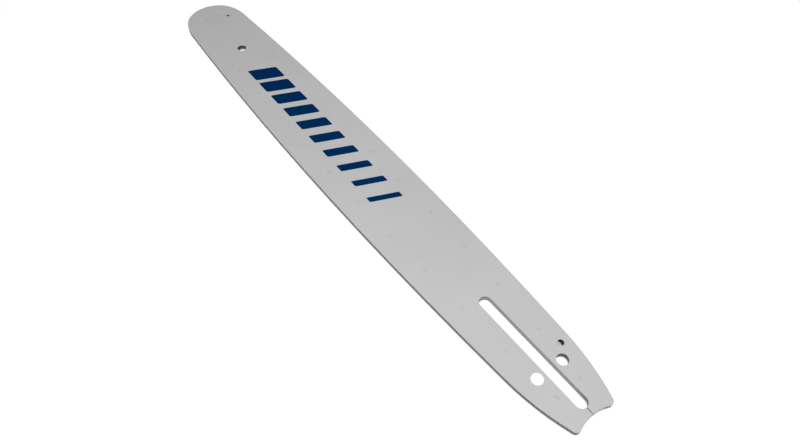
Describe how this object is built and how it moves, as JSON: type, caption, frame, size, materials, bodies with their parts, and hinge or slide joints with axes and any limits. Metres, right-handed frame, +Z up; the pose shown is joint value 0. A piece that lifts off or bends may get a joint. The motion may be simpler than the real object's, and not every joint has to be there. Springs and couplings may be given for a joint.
{
  "type": "chainsaw guide bar",
  "caption": "Long flat laminated guide bar with a chain groove round its rim, a stud slot and adjuster holes at the tail, and a sprocket that turns on rollers in its round nose.",
  "frame": {"origin": "middle of the lower face, under the centre of the bar's box", "axes": "+X along the bar from the tail to the nose, +Y across it, +Z up through its thickness"},
  "size_m": [0.4817, 0.0628, 0.0042],
  "materials": {
    "painted_plate": "satin light grey coating on steel",
    "core_steel": "plain rolled steel",
    "sprocket_steel": "hardened stamped steel, lightly oiled",
    "bearing_steel": "ground steel, greased"
  },
  "bodies": {
    "bar": {"upper_side_plate": "painted_plate", "lower_side_plate": "painted_plate", "core_plate": "core_steel", "bearing_hub": "bearing_steel", "nose_rivets": "painted_plate"},
    "sprocket": {"nose_sprocket": "sprocket_steel"},
    "roller_ring": {"bearing_rollers": "bearing_steel"}
  },
  "joints": [
    {"name": "sprocket_spin", "type": "hinge", "parent": "bar", "child": "sprocket", "pos_m": [0.21675, 0, 0.0021], "axis": [0, 0, 1], "continuous": true},
    {"name": "roller_orbit", "type": "hinge", "parent": "bar", "child": "roller_ring", "pos_m": [0.21675, 0, 0.0021], "axis": [0, 0, 1], "continuous": true}
  ],
  "couplings": [
    {"joint": "roller_orbit", "follows": "sprocket_spin", "ratio": 0.564}
  ]
}
